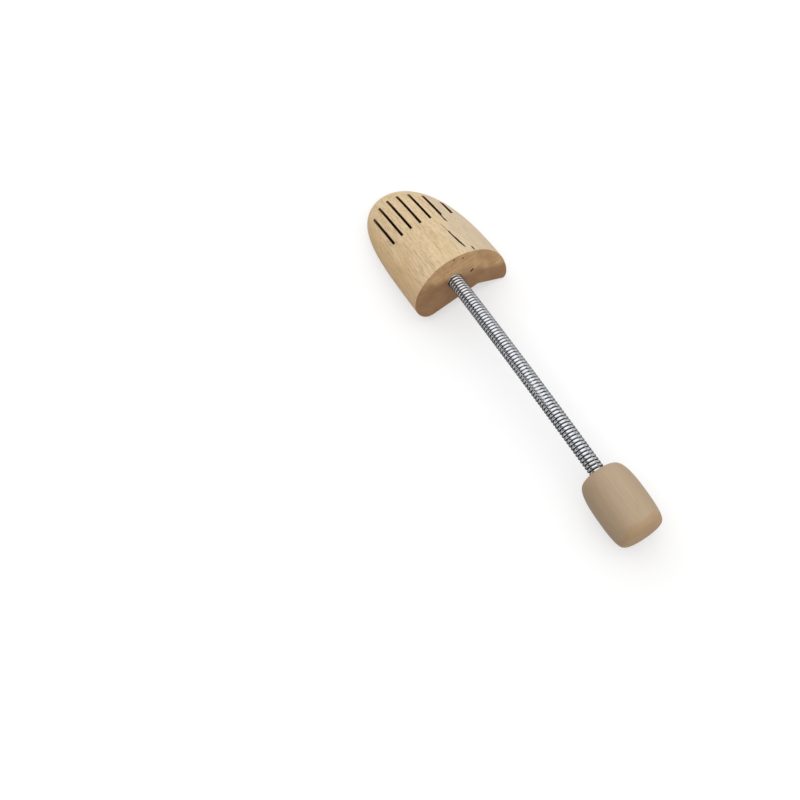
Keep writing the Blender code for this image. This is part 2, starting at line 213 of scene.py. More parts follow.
def finish_mesh(name, grid):
    mesh = bpy.data.meshes.new(name)
    bmesh.ops.recalc_face_normals(grid, faces=grid.faces)
    grid.to_mesh(mesh)
    grid.free()
    mesh.shade_smooth()
    return mesh


def join_rings(grid, rings):
    """Faces between rings of points, each of which closes on itself."""
    for ring, following in zip(rings, rings[1:]):
        for i in range(len(ring)):
            j = (i + 1) % len(ring)
            grid.faces.new((ring[i], ring[j], following[j], following[i]))


def lathe(name, profile, steps):
    """A closed turned mesh from (radius, height) pairs. The first and the last lie on the axis."""
    grid = bmesh.new()
    rings = []
    for radius, height in profile[1:-1]:
        ring = []
        for i in range(steps):
            turn = 2 * math.pi * (i + 1 / 2) / steps
            ring.append(grid.verts.new((radius * math.cos(turn), radius * math.sin(turn), height)))
        rings.append(ring)
    join_rings(grid, rings)
    for (_, height), ring in ((profile[0], rings[0]), (profile[-1], rings[-1])):
        centre = grid.verts.new((0, 0, height))
        for i in range(steps):
            grid.faces.new((centre, ring[i], ring[(i + 1) % steps]))
    return finish_mesh(name, grid)


def cut(target, cutters):
    """Cuts the pieces away from the target's mesh for good, and removes them."""
    for cutter in cutters:
        modifier = target.modifiers.new("cut", "BOOLEAN")
        modifier.operation = "DIFFERENCE"
        modifier.object = cutter
    graph = bpy.context.evaluated_depsgraph_get()
    target.data = bpy.data.meshes.new_from_object(target.evaluated_get(graph))
    target.modifiers.clear()
    for cutter in cutters:
        bpy.data.objects.remove(cutter, do_unlink=True)
    target.data.set_sharp_from_angle(angle=SHARP_ANGLE)


def power(value, exponent):
    return max(value, 0) ** exponent


# The toe block's form, in its own frame: X along the bore, the origin at the foot of the heel end


def half_width(along):
    return BLOCK_WIDTH / 2 * power(1 - along**PLAN_POWER, 1 / PLAN_ROOT)


def centre_line(along):
    return HEEL_END_SHIFT + (TOE_END_SHIFT - HEEL_END_SHIFT) * along**2


def nose_share(along):
    return power(1 - along**NOSE_POWER, 1 / 2)


def sole_line(along):
    return BLOCK_LENGTH * along * SOLE_SLOPE


def base_height(along):
    return sole_line(along) + NOSE_HEIGHT * (1 - nose_share(along))


def crown_height(along):
    fall = BLOCK_HEIGHT - TOE_HEIGHT - sole_line(1)
    nose = sole_line(along) + NOSE_HEIGHT
    return nose + (BLOCK_HEIGHT - fall * along**TOP_FALL_POWER - nose) * nose_share(along)


def sole_height(along, y):
    inner = y < HOLLOW_CREST_Y
    across = min(abs(y - HOLLOW_CREST_Y) / (HOLLOW_INNER_WIDTH if inner else HOLLOW_OUTER_WIDTH), 1)
    hollow = HOLLOW_DEPTH + across * ((HOLLOW_INNER_DEPTH if inner else 0) - HOLLOW_DEPTH)
    fade = max(1 - along * BLOCK_LENGTH / HOLLOW_LENGTH, 0)
    return hollow * fade**2 + base_height(along)


def flank(along, outer):
    side = 1 if outer else -1
    share = OUTER_WIDEST_SHARE if outer else INNER_WIDEST_SHARE
    base = base_height(along)
    height = base + share * (crown_height(along) - base)
    return side * half_width(along), height, OUTER_FLANK_POWER if outer else INNER_FLANK_POWER


def top_point(along, outer, turn):
    width, height, bulge = flank(along, outer)
    crown = CROWN_SHIFT_SHARE * half_width(along)
    y = crown + (width - crown) * power(math.sin(turn), 2 / bulge)
    z = height + (crown_height(along) - height) * power(math.cos(turn), 2 / bulge)
    return y, z


def top_height(along, y):
    """Height of the domed top above a place y, measured from the block's centre line."""
    width, height, bulge = flank(along, y > CROWN_SHIFT_SHARE * half_width(along))
    crown = CROWN_SHIFT_SHARE * half_width(along)
    out = (y - crown) / (width - crown)
    return height + (crown_height(along) - height) * power(1 - out**bulge, 1 / bulge)


def edge_point(along, outer, turn):
    width, height, _ = flank(along, outer)
    foot = width * (OUTER_SOLE_SHARE if outer else INNER_SOLE_SHARE)
    drop = height - sole_height(along, foot + centre_line(along))
    y = foot + (width - foot) * power(math.cos(turn), 2 / SOLE_EDGE_POWER)
    return y, height - drop * power(math.sin(turn), 2 / SOLE_EDGE_POWER)


def section(along):
    quarter = math.pi / 2
    points = [top_point(along, True, quarter * i / SECTION_STEPS) for i in range(SECTION_STEPS)]
    points += [edge_point(along, True, quarter * i / EDGE_STEPS) for i in range(EDGE_STEPS)]
    outer_foot = edge_point(along, True, quarter)[0]
    inner_foot = edge_point(along, False, quarter)[0]
    shift = centre_line(along)
    for i in range(SOLE_STEPS + 1):
        y = outer_foot + (inner_foot - outer_foot) * i / SOLE_STEPS
        points.append((y, sole_height(along, y + shift)))
    points += [edge_point(along, False, quarter * i / EDGE_STEPS) for i in range(EDGE_STEPS - 1, 0, -1)]
    points += [top_point(along, False, quarter * i / SECTION_STEPS) for i in range(SECTION_STEPS, 0, -1)]
    return [(y + shift, z) for y, z in points]


def inset_section(inset):
    """The heel end's outline, drawn in from itself by a distance."""
    outline = [Vector(point) for point in section(0)]
    drawn = []
    for i, point in enumerate(outline):
        along = (outline[(i + 1) % len(outline)] - outline[i - 1]).normalized()
        drawn.append(point + inset * Vector((along.y, -along.x)))
    return drawn


def block_mesh():
    grid = bmesh.new()
    rings = []
    for i in range(ARRIS_STEPS):
        turn = math.pi / 2 * i / ARRIS_STEPS
        x = -ARRIS_RADIUS * (1 - math.cos(turn))
        outline = inset_section(ARRIS_RADIUS * (1 - math.sin(turn)))
        rings.append([grid.verts.new((x, y, z)) for y, z in outline])
    start = ARRIS_RADIUS / BLOCK_LENGTH
    for i in range(STATION_STEPS):
        along = start + (1 - start) * math.sin(math.pi / 2 * i / STATION_STEPS)
        rings.append([grid.verts.new((-BLOCK_LENGTH * along, y, z)) for y, z in section(along)])
    join_rings(grid, rings)
    grid.faces.new(rings[0])
    tip = grid.verts.new((-BLOCK_LENGTH, TOE_END_SHIFT, sole_line(1) + NOSE_HEIGHT))
    for i, vertex in enumerate(rings[-1]):
        grid.faces.new((vertex, tip, rings[-1][(i + 1) % len(rings[-1])]))
    return finish_mesh("block_wood", grid)


BLOCK_FRAME = Matrix.Translation((REAR_X, 0, 0)) @ Matrix.Rotation(-BORE_RISE, 4, "Y")


def outline_reach(y):
    """The share of the block's length at which its outline narrows to a place y."""
    low, high = 0, 1
    for _ in range(SETTLE_STEPS):
        middle = (low + high) / 2
        if abs(y - centre_line(middle)) < half_width(middle):
            low = middle
        else:
            high = middle
    return low


def add_blade(grid, y, start, end):
    """A blade that leaves the domed top at two distances ahead of the heel end."""
    shares = [ahead / BLOCK_LENGTH for ahead in (start, end)]
    heights = [top_height(share, y - centre_line(share)) for share in shares]
    fall = math.atan2(heights[0] - heights[1], end - start)
    radius = BLADE_RADIUS * (end - start) / SLOT_LENGTH
    lift = math.sqrt(radius**2 - ((end - start) / 2 / math.cos(fall)) ** 2)
    x = -(start + end) / 2 - math.sin(fall) * lift
    z = sum(heights) / 2 + math.cos(fall) * lift
    bmesh.ops.create_cone(
        grid,
        cap_ends=True,
        segments=SLOT_BLADE_STEPS,
        radius1=radius,
        radius2=radius,
        depth=SLOT_WIDTH,
        matrix=Matrix.Translation((x, y, z)) @ Matrix.Rotation(math.pi / 2, 4, "X"),
    )


def slot_blades():
    """One blade for each slot. Towards the sides the nose is nearer, so these slots are smaller."""
    grid = bmesh.new()
    for i in range(SLOT_COUNT):
        y = SLOT_ROW_SHIFT + SLOT_SPACING * (i - (SLOT_COUNT - 1) / 2)
        end = BLOCK_LENGTH * outline_reach(y) - SLOT_TOE_DISTANCE
        if end - SLOT_HEEL_DISTANCE > SLOT_DEPTH:
            add_blade(grid, y, SLOT_HEEL_DISTANCE, end)
    return add_cutter("slot_blades", finish_mesh("slot_blades", grid), BLOCK_FRAME)


def crack_points(points):
    """The points of a crack with more between them, each with a small wander to the side."""
    finer = []
    for number, (point, following) in enumerate(zip(points, points[1:])):
        for i in range(CRACK_STEPS):
            share = i / CRACK_STEPS
            ahead, y, width = [a + (b - a) * share for a, b in zip(point, following)]
            wander = math.sin(2 * math.pi * share) * (width / CRACK_WANDER_DIVISORS[number % 2])
            finer.append((ahead, y + wander, width))
    return finer + [points[-1]]


def crack_blade(name, points):
    """A thin wedge along the grain that opens into the domed top."""
    grid = bmesh.new()
    rings = []
    for ahead, y, width in crack_points(points):
        top = top_height(ahead / BLOCK_LENGTH, y - centre_line(ahead / BLOCK_LENGTH))
        depth = width * CRACK_DEPTH_SHARE
        corners = ((y - width, top + depth), (y + width, top + depth), (y, top - depth))
        rings.append([grid.verts.new((-ahead, *corner)) for corner in corners])
    join_rings(grid, rings)
    grid.faces.new(rings[0])
    grid.faces.new(rings[-1])
    return add_cutter(name, finish_mesh(name, grid), BLOCK_FRAME)


def pit_cutters():
    """Small oval pits in the sawn heel end."""
    grid = bmesh.new()
    for y, z, length, width, lean in PITS:
        turn = Matrix.Rotation(lean, 4, "X")
        shape = Matrix.Diagonal((PIT_DEPTH, length, width, 1))
        bmesh.ops.create_uvsphere(
            grid,
            u_segments=PIT_STEPS,
            v_segments=PIT_STEPS // 2,
            radius=1,
            matrix=Matrix.Translation((0, y, z)) @ turn @ shape,
        )
    return add_cutter("pits", finish_mesh("pits", grid), BLOCK_FRAME)


# The knob's form, as (radius, distance behind its near end) pairs from its far end on


def knob_profile():
    points = []
    for end, exponent, root in ((1, FAR_END_POWER, FAR_END_ROOT), (-1, NEAR_END_POWER, NEAR_END_ROOT)):
        half = []
        for i in range(PROFILE_STEPS + 1):
            turn = math.pi / 2 * (i / PROFILE_STEPS) ** PROFILE_CROWD_POWER
            distance = KNOB_LENGTH / 2 * (1 + end * power(math.cos(turn), 2 / exponent))
            half.append((KNOB_DIAMETER / 2 * power(math.sin(turn), 2 / root), distance))
        points += half if end > 0 else half[-2::-1]
    return points


# The spring's line: straight in the bores, with an even bend between them


def bent_line(distance, bend):
    """A place at a distance behind the block on a line that bends down evenly, and its slope."""
    on_arc = min(max(distance, 0), FREE_LENGTH)
    turned_by = bend * on_arc / FREE_LENGTH
    slope = turned_by - BORE_RISE
    chord = on_arc * (math.sin(turned_by / 2) / (turned_by / 2) if turned_by else 1)
    chord_slope = turned_by / 2 - BORE_RISE
    straight = distance - on_arc
    x = REAR_X - AXIS_HEIGHT * math.sin(BORE_RISE)
    z = AXIS_HEIGHT * math.cos(BORE_RISE)
    x += chord * math.cos(chord_slope) + straight * math.cos(slope)
    z -= chord * math.sin(chord_slope) + straight * math.sin(slope)
    return Vector((x, 0, z)), slope


def find_bend():
    """The bend that lets the knob down to the level of the sole."""
    profile = knob_profile()
    low, high = 0, math.pi / 2
    for _ in range(SETTLE_STEPS):
        middle = (low + high) / 2
        end, slope = bent_line(FREE_LENGTH, middle)
        lowest = min(end.z - d * math.sin(slope) - r * math.cos(slope) for r, d in profile)
        if lowest > REST_GAP:
            low = middle
        else:
            high = middle
    return low


BEND = find_bend()


def line_at(distance):
    return bent_line(distance, BEND)


def wire_point(distance, turn):
    """A point of the wire's centre line, and the way out from the coil's axis there."""
    place, slope = line_at(distance)
    upward = Vector((math.sin(slope), 0, math.cos(slope)))
    angle = 2 * math.pi * turn + math.pi
    outward = math.cos(angle) * upward + math.sin(angle) * Vector((0, 1, 0))
    return place + COIL_RADIUS * outward, outward


def opened(turn, start):
    return OPENED_EXTRA * min(max((turn - start) / OPENED_TURNS, 0), 1)


def coil_distance(turn):
    closed = (turn - BLOCK_TURNS) * PITCH - OPENED_EXTRA
    return closed + opened(turn, NAIL_TURN) + opened(turn, KNOB_OPENED_AT)


def tail_points(turn, way):
    """The wire's end, which bends on the coil's cylinder until it runs along the axis."""
    points = []
    distance = coil_distance(turn)
    start = math.atan2(PITCH, 2 * math.pi * COIL_RADIUS)
    step = (math.pi / 2 - start) / TAIL_STEPS
    for i in range(TAIL_STEPS):
        lead = start + step * (i + 1 / 2)
        run = TAIL_BEND_RADIUS * step
        distance += way * run * math.sin(lead)
        turn += way * run * math.cos(lead) / (2 * math.pi * COIL_RADIUS)
        points.append(wire_point(distance, turn))
    points.append(wire_point(distance + way * WIRE_DIAMETER, turn))
    return points


def wire_path():
    count = ALL_TURNS * TURN_POINTS
    coil = [wire_point(coil_distance(i / TURN_POINTS), i / TURN_POINTS) for i in range(count + 1)]
    return tail_points(0, -1)[::-1] + coil + tail_points(ALL_TURNS, 1)


def wire_ring(grid, path, i):
    """A ring of points round the wire, square to it."""
    along = (path[min(i + 1, len(path) - 1)][0] - path[max(i - 1, 0)][0]).normalized()
    place, outward = path[i]
    side = along.cross(outward).normalized()
    outward = side.cross(along)
    ring = []
    for j in range(WIRE_SIDES):
        turn = 2 * math.pi * j / WIRE_SIDES
        out = math.cos(turn) * outward + math.sin(turn) * side
        ring.append(grid.verts.new(place + WIRE_DIAMETER / 2 * out))
    return ring


def wire_length(name, path, first, last):
    """A length of the round wire. Its UV map runs round the wire and along it, a turn to each unit."""
    grid = bmesh.new()
    layer = grid.loops.layers.uv.new("wire")
    rings = [wire_ring(grid, path, i) for i in range(first, last + 1)]
    for i, (ring, following) in enumerate(zip(rings, rings[1:]), first):
        for j in range(WIRE_SIDES):
            k = (j + 1) % WIRE_SIDES
            face = grid.faces.new((ring[j], ring[k], following[k], following[j]))
            for loop, (u, v) in zip(face.loops, ((j, i), (j + 1, i), (j + 1, i + 1), (j, i + 1))):
                loop[layer].uv = (u / WIRE_SIDES, v / TURN_POINTS)
    grid.faces.new(rings[0])
    grid.faces.new(rings[-1])
    mesh = finish_mesh(name, grid)
    mesh.set_sharp_from_angle(angle=SHARP_ANGLE)
    return add_object(name, mesh)


# The nails


def nail_line(opened_at):
    below = (coil_distance(opened_at) + coil_distance(opened_at + 1)) / 2
    above = (coil_distance(opened_at + 1 / 2) + coil_distance(opened_at + OPENED_TURNS)) / 2
    return (below + above) / 2, math.atan2(above - below, 2 * COIL_RADIUS)


def nail_profile(length):
    shank, head, thick = NAIL_DIAMETER / 2, NAIL_HEAD_DIAMETER / 2, NAIL_HEAD_THICKNESS
    chamfer = thick * NAIL_CHAMFER_SHARE
    tip_radius, tip_length = NAIL_TIP_SHARES
    return [
        (0, length),
        (shank * tip_radius, length - NAIL_POINT_LENGTH * tip_length),
        (shank, length - NAIL_POINT_LENGTH),
        (shank, thick + chamfer),
        (shank + chamfer, thick),
        (head - chamfer / 2, thick),
        (head, thick - chamfer / 2),
        (head, chamfer),
        (head - chamfer, 0),
        (0, 0),
    ]


def nail_hole_profile(length):
    shank, head = NAIL_DIAMETER / 2 + FIT_GAP, NAIL_HEAD_DIAMETER / 2 + FIT_GAP
    return [
        (0, length + FIT_GAP),
        (shank, length + FIT_GAP),
        (shank, NAIL_HEAD_THICKNESS + FIT_GAP),
        (head, NAIL_HEAD_THICKNESS + FIT_GAP),
        (head, -CUT_OVERRUN),
        (0, -CUT_OVERRUN),
    ]


def add_nail(name, opened_at, surface_radius):
    """A nail driven from below across the bore, and the cutter of its hole."""
    crossing, lean = nail_line(opened_at)
    place, slope = line_at(crossing)
    sunk = surface_radius - NAIL_HEAD_SINK
    direction = Vector((math.sin(slope + lean), 0, math.cos(slope + lean)))
    start = place - direction * (sunk / math.cos(lean))
    length = (sunk + BORE_RADIUS + NAIL_BITE) / math.cos(lean)
    own_frame = Matrix.Translation(start) @ Matrix.Rotation(slope + lean, 4, "Y")
    nail = add_piece(name, lathe(name, nail_profile(length), NAIL_STEPS), own_frame)
    nail.data.set_sharp_from_angle(angle=SHARP_ANGLE)
    hole = add_piece(name + "_hole", lathe(name + "_hole", nail_hole_profile(length), NAIL_STEPS), own_frame)
    return nail, hole


# The wooden pieces


def bore_cutter(entry, depth, tilt):
    """A drill as wide as the bore, with its mouth's sharp edge broken."""
    profile = [
        (0, depth),
        (BORE_RADIUS, depth),
        (BORE_RADIUS, BORE_BREAK),
        (BORE_RADIUS + BORE_BREAK, 0),
        (BORE_RADIUS + BORE_BREAK, -CUT_OVERRUN),
        (0, -CUT_OVERRUN),
    ]
    own_frame = Matrix.Translation(entry) @ Matrix.Rotation(tilt, 4, "Y")
    return add_piece("drill", lathe("drill", profile, ROUND_STEPS), own_frame)


def toe_block():
    block = add_piece("block_wood", block_mesh(), BLOCK_FRAME)
    for material in (block_wood(), scorched_and_shaded_wood()):
        block.data.materials.append(material)
    entry, slope = line_at(0)
    crossing, lean = nail_line(NAIL_TURN)
    heel_distance = -crossing + math.sin(lean) * AXIS_HEIGHT
    sole = sole_height(heel_distance / BLOCK_LENGTH, 0)
    nail, hole = add_nail("block_nail", NAIL_TURN, AXIS_HEIGHT - sole)
    drill = bore_cutter(entry, BLOCK_BORE_DEPTH, slope - math.pi / 2)
    cracks = [crack_blade(name, points) for name, points in CRACKS.items()]
    cut(block, [slot_blades(), drill, hole, pit_cutters(), *cracks])
    return block, nail


def knob_radius_at(distance):
    profile = knob_profile()
    for (radius, far), (next_radius, near) in zip(profile, profile[1:]):
        if near <= distance <= far:
            share = (distance - near) / (far - near)
            return next_radius + share * (radius - next_radius)
    return 0


def knob_frame():
    entry, slope = line_at(FREE_LENGTH)
    return Matrix.Translation(entry) @ Matrix.Rotation(slope + math.pi / 2, 4, "Y")


def heel_knob():
    knob = add_piece("knob_wood", lathe("knob_wood", knob_profile(), ROUND_STEPS), knob_frame())
    entry, slope = line_at(FREE_LENGTH)
    crossing, lean = nail_line(KNOB_OPENED_AT)
    foot = crossing - FREE_LENGTH - math.tan(lean) * KNOB_DIAMETER / 2
    nail, hole = add_nail("knob_nail", KNOB_OPENED_AT, knob_radius_at(foot))
    cut(knob, [bore_cutter(entry, KNOB_BORE_DEPTH, slope + math.pi / 2), hole])
    return knob, nail


def spring_halves():
    """The spring in two lengths that meet in its middle."""
    path = wire_path()
    middle = TAIL_STEPS + 1 + round((BLOCK_TURNS + FREE_TURNS / 2) * TURN_POINTS)
    front = wire_length("spring_front", path, 0, middle)
    rear = wire_length("spring_rear", path, middle, len(path) - 1)
    return front, rear


# Materials


def linear(red, green, blue):
    """A colour given as sRGB numbers from 0 to 255."""
    shares = [value / 255 for value in (red, green, blue)]
    return (*[s / 12.92 if s <= 0.04045 else ((s + 0.055) / 1.055) ** 2.4 for s in shares], 1)


WHITE = (1, 1, 1, 1)

# Spans of a noise's values, and of how far a face's normal lies along an axis
NOISE_SPAN = (0.3, 0.7)
WIDE_SPAN = (0.2, 0.8)
FACING_SPAN = (0.6, 0.95)

# The grain of both woods. Scales are in waves for each metre, along the grain and across it
FIBRE_SCALES = (26, 1100)
FIBRE_SPAN = (0.32, 0.68)
FIBRE_SHARE = 0.6
DRIFT_SCALES = (9, 120)
DASH_SCALES = (130, 2100)
DASH_SPAN = (0.62, 0.74)
RING_SPACING = 0.0034
RING_SWAY = 0.002
RING_SWAY_SCALES = (7, 40)
RING_SWAY_SPAN = (0.25, 0.75)
RING_POWER = 6
PORE_SCALES = (1500, 1500, 1500)
PORE_SHARE = 0.35
CLOUD_SCALES = (110, 110, 110)
END_RING_SHARE = 0.45
FIBRE_HEIGHT_SHARE = 0.7
DASH_DEPTH_SHARE = 0.5
WOOD_RELIEF = 0.00005
WOOD_ROUGHNESSES = (0.52, 0.7)

# The block's wood: its tones, how much of each lies over the plain grain, and where
BLOCK_TONES = {
    "light": linear(228, 203, 164),
    "dark": linear(202, 175, 133),
    "pore": linear(122, 92, 60),
    "end_light": linear(213, 175, 129),
    "end_dark": linear(173, 134, 94),
    "hair": linear(128, 98, 64),
    "saw": linear(148, 110, 74),
    "heart_and_shade": linear(120, 81, 52),
    "warm_shade": linear(196, 156, 106),
    "grey_sheen": linear(203, 188, 166),
}
BLOCK_SHARES = {
    "rings": 0.25,
    "dashes": 0.45,
    "hair": 0.32,
    "saw": 0.35,
    "heart_and_shade": 0.6,
    "warm_shade": 0.45,
    "grey_sheen": 0.5,
}
BLOCK_PITH = (-0.005, 0.105)
HAIR_AXIS_DEPTH = 0.012
HAIR_SCALES = (55, 38)
HAIR_SPAN = (0.52, 0.64)
SAW_SCALES = (1, 90, 1300)
SAW_TURN = -0.7
SAW_SPAN = (0.5, 0.72)
# Where the heel end darkens below a slanting line: a heartwood tone with painted shade
HEART_AND_SHADE_LEVELS = (0.0225, 0.0275)
HEART_AND_SHADE_SLOPE = 0.37
HEART_AND_SHADE_SWAY = 0.0012
HEART_AND_SHADE_SWAY_SCALES = (1, 160, 160)
SIDE_SWAY = 0.004
SIDE_SWAY_SCALES = (25, 90, 90)
# The inner side's tone: painted shade with orange bounce light
WARM_SHADE_SIDE = (-0.027, -0.012)
# The outer side's tone: a painted sheen
GREY_SHEEN_SIDE = (0.008, 0.021)

# Inside the cuts: browned wood, darkened further as painted shade in the slots, cracks and pits
SCORCHED_AND_SHADED_TONES = (linear(66, 45, 29), linear(112, 80, 52))
SCORCHED_AND_SHADED_SCALES = (160, 900, 260)
SCORCHED_ROUGHNESSES = (0.75, 0.9)

# The knob's wood
KNOB_TONES = {
    "light": linear(183, 161, 134),
    "dark": linear(173, 150, 123),
    "pore": linear(146, 122, 96),
    "end_light": linear(188, 160, 127),
    "end_dark": linear(175, 146, 113),
    # The inner side's tone: a darker wood tone with painted shade
    "inner": linear(146, 122, 97),
    # The far end's band: an end-grain tone with painted shade where it rounds off
    "edge": linear(170, 134, 92),
}
KNOB_SHARES = {"rings": 0.35, "dashes": 0.2, "inner": 0.4, "edge": 0.5}
KNOB_PITH = (0.031, 0.006)
KNOB_INNER_SHADE_SIDE = (-0.013, -0.001)
KNOB_INNER_SWAY = 0.002
KNOB_INNER_SWAY_SCALES = (60, 60, 25)
KNOB_EDGE_SHADE_REACHES = (0.005, 0.0018)
KNOB_EDGE_SWAY = 0.0015
KNOB_EDGE_SWAY_SCALES = (90, 90, 90)

# The steel. The drawn lines' scales are for once round the wire and for each turn of the coil
WIRE_TONES = (linear(212, 214, 218), linear(196, 198, 202))
WIRE_TONE_SPAN = (0.3, 0.75)
DRAWN_SCALES = (80, 0.6, 1)
DRAWN_ROUGHNESS = 0.06
SMEAR_SCALES = (420, 420, 420)
SMEAR_ROUGHNESSES = (0.03, 0.09)
SMEAR_SPAN = (0.2, 0.6)
# Grime with painted shade on the wire's flanks between the turns
GRIME_AND_SHADE_TONE = linear(58, 58, 60)
GRIME_AND_SHADE_SPAN = (0.16, 0.29)
GRIME_AND_SHADE_SHARES = (0.55, 0.85)
# Painted shade on the spring's sides, darker away from the top
SIDE_SHADE_TONE = linear(80, 79, 80)
SIDE_SHADE_REACH = (0.0026, 0.004)
SIDE_SHADE_SHARES = (0.5, 0.75)
WIRE_EDGE_TINT = (0.1, 0.1, 0.1, 1)
WIRE_RELIEF = 0.0000015
NAIL_TONES = (linear(182, 182, 184), linear(136, 134, 132))
NAIL_TONE_SPAN = (0.35, 0.7)
NAIL_SPOT_SCALES = (2500, 2500, 2500)
NAIL_ROUGHNESSES = (0.25, 0.45)
NAIL_RELIEF = 0.00002

# The floor
PAPER_TONES = (linear(178, 178, 178), linear(182, 182, 182))
PAPER_SCALES = (7, 7, 7)
PAPER_GLOW = 0.53


class Nodes:
    """A node tree, with short calls that add nodes and join them."""

    def __init__(self, tree):
        self.tree = tree

    def put(self, socket, value):
        if isinstance(value, bpy.types.NodeSocket):
            self.tree.links.new(value, socket)
        else:
            socket.default_value = value

    def add(self, kind, inputs, **settings):
        node = self.tree.nodes.new("ShaderNode" + kind)
        for key, value in settings.items():
            setattr(node, key, value)
        for key, value in inputs.items():
            self.put(node.inputs[key], value)
        return node

    def math(self, operation, first, second=0):
        return self.add("Math", {0: first, 1: second}, operation=operation).outputs[0]

    def total(self, *values):
        added = values[0]
        for value in values[1:]:
            added = self.math("ADD", added, value)
        return added

    def times(self, *values):
        product = values[0]
        for value in values[1:]:
            product = self.math("MULTIPLY", product, value)
        return product

    def span(self, value, low, high, to_low=0, to_high=1):
        """The value's span from low to high, laid over the span from to_low to to_high."""
        inputs = {0: value, 1: low, 2: high, 3: to_low, 4: to_high}
        return self.add("MapRange", inputs, interpolation_type="SMOOTHSTEP").outputs[0]

    def mix(self, share, first, second):
        return self.add("Mix", {0: share, 6: first, 7: second}, data_type="RGBA").outputs[2]


class Shader(Nodes):
    """A material's nodes. Their coordinates are those of a piece's own frame."""

    def __init__(self, name, own_frame=None):
        self.material = bpy.data.materials.new(name)
        self.material.use_nodes = True
        super().__init__(self.material.node_tree)
        self.own_frame = own_frame or Matrix()
        self.principled = self.tree.nodes["Principled BSDF"]

    def set(self, **inputs):
        for key, value in inputs.items():
            self.put(self.principled.inputs[key.replace("_", " ")], value)

    def coordinates(self, source="Object"):
        """The place, or the normal, in the piece's own frame."""
        vector = self.add("TexCoord", {}).outputs[source]
        inputs = {"Vector": vector, "Rotation": self.own_frame.to_euler()}
        if source == "Object":
            inputs["Location"] = self.own_frame.to_translation()
        return self.add("Mapping", inputs, vector_type="TEXTURE").outputs[0]

    def part(self, name, source="Object"):
        return self.add("SeparateXYZ", {0: self.coordinates(source)}).outputs[name]

    def noise_at(self, place, detail=2, roughness=0.5):
        inputs = {"Vector": place, "Scale": 1, "Detail": detail, "Roughness": roughness}
        return self.add("TexNoise", inputs).outputs[0]

    def noise(self, scales, detail=2, roughness=0.5, turn=0):
        """Noise stretched by a scale for each axis, after a turn about the X axis."""
        inputs = {"Vector": self.coordinates(), "Scale": scales, "Rotation": (turn, 0, 0)}
        return self.noise_at(self.add("Mapping", inputs).outputs[0], detail, roughness)

    def sway(self, scales, reach):
        """Noise that reaches as far below zero as above it."""
        return self.span(self.noise(scales), *NOISE_SPAN, -reach, reach)

    def tint(self, colour, where, share, tone):
        """A colour with a share of another tone laid over it, as far as where says."""
        return self.mix(self.times(where, share), colour, tone)

    def bump(self, height, distance):
        return self.add("Bump", {"Height": height, "Distance": distance}).outputs[0]


def grain_scales(axis, scales):
    """A scale for each axis, from one along the grain and one across it."""
    along, across = scales
    return tuple(along if name == axis else across for name in "XYZ")


def growth_rings(shader, axis, pith):
    """Growth rings round the pith, a line along the grain: 0 as a year's growth starts and 1 as it ends."""
    across = [name for name in "XYZ" if name != axis]
    sway = shader.noise(grain_scales(axis, RING_SWAY_SCALES))
    squares = []
    for name, middle in zip(across, pith):
        offset = shader.math("SUBTRACT", shader.part(name), middle)
        squares.append(shader.times(offset, offset))
    radius = shader.math("SQRT", shader.total(*squares))
    radius = shader.total(radius, shader.span(sway, *RING_SWAY_SPAN, -RING_SWAY, RING_SWAY))
    return shader.math("FRACT", shader.math("DIVIDE", radius, RING_SPACING))


def side_grain(shader, fibres, dashes, late, axis, tones, shares):
    """The colour of the wood where its fibres lie along the surface."""
    drift = shader.span(shader.noise(grain_scales(axis, DRIFT_SCALES)), *NOISE_SPAN, 0, 1 - FIBRE_SHARE)
    tone = shader.total(shader.span(fibres, *FIBRE_SPAN, 0, FIBRE_SHARE), drift)
    colour = shader.mix(tone, tones["dark"], tones["light"])
    colour = shader.tint(colour, late, shares["rings"], tones["dark"])
    return shader.tint(colour, dashes, shares["dashes"], tones["pore"])


def end_grain(shader, late, tones):
    """The colour of the wood where its fibres are cut across."""
    pores = shader.span(shader.noise(PORE_SCALES), *NOISE_SPAN, 0, PORE_SHARE)
    cloud = shader.noise(CLOUD_SCALES, detail=3, roughness=0.6)
    tone = shader.total(pores, shader.span(cloud, *NOISE_SPAN, 0, 1 - PORE_SHARE))
    colour = shader.mix(tone, tones["end_dark"], tones["end_light"])
    return shader.tint(colour, late, END_RING_SHARE, tones["end_dark"])


def wood(shader, axis, tones, shares, pith):
    """Bare wood with its grain along one axis.

    Sets its relief and roughness, and returns its colour and where it is end grain.
    """
    fibres = shader.noise(grain_scales(axis, FIBRE_SCALES), detail=4, roughness=0.62)
    dashes = shader.span(shader.noise(grain_scales(axis, DASH_SCALES), detail=1), *DASH_SPAN)
    late = shader.math("POWER", growth_rings(shader, axis, pith), RING_POWER)
    side = side_grain(shader, fibres, dashes, late, axis, tones, shares)
    end = end_grain(shader, late, tones)
    is_end = shader.span(shader.math("ABSOLUTE", shader.part(axis, "Normal")), *FACING_SPAN)
    raised = shader.times(fibres, FIBRE_HEIGHT_SHARE)
    height = shader.math("SUBTRACT", raised, shader.times(dashes, DASH_DEPTH_SHARE))
    shader.set(Normal=shader.bump(height, WOOD_RELIEF))
    shader.set(Roughness=shader.span(fibres, *WIDE_SPAN, *WOOD_ROUGHNESSES))
    return shader.mix(is_end, side, end), is_end


def hair_lines(shader):
    """Long fine lines that follow the block's rounded surface from end to end."""
    turn = shader.math("ARCTAN2", shader.part("Y"), shader.total(shader.part("Z"), HAIR_AXIS_DEPTH))
    along, around = HAIR_SCALES
    inputs = {"X": shader.times(shader.part("X"), along), "Y": shader.times(turn, around)}
    place = shader.add("CombineXYZ", inputs).outputs[0]
    return shader.span(shader.noise_at(place, detail=3, roughness=0.6), *HAIR_SPAN)


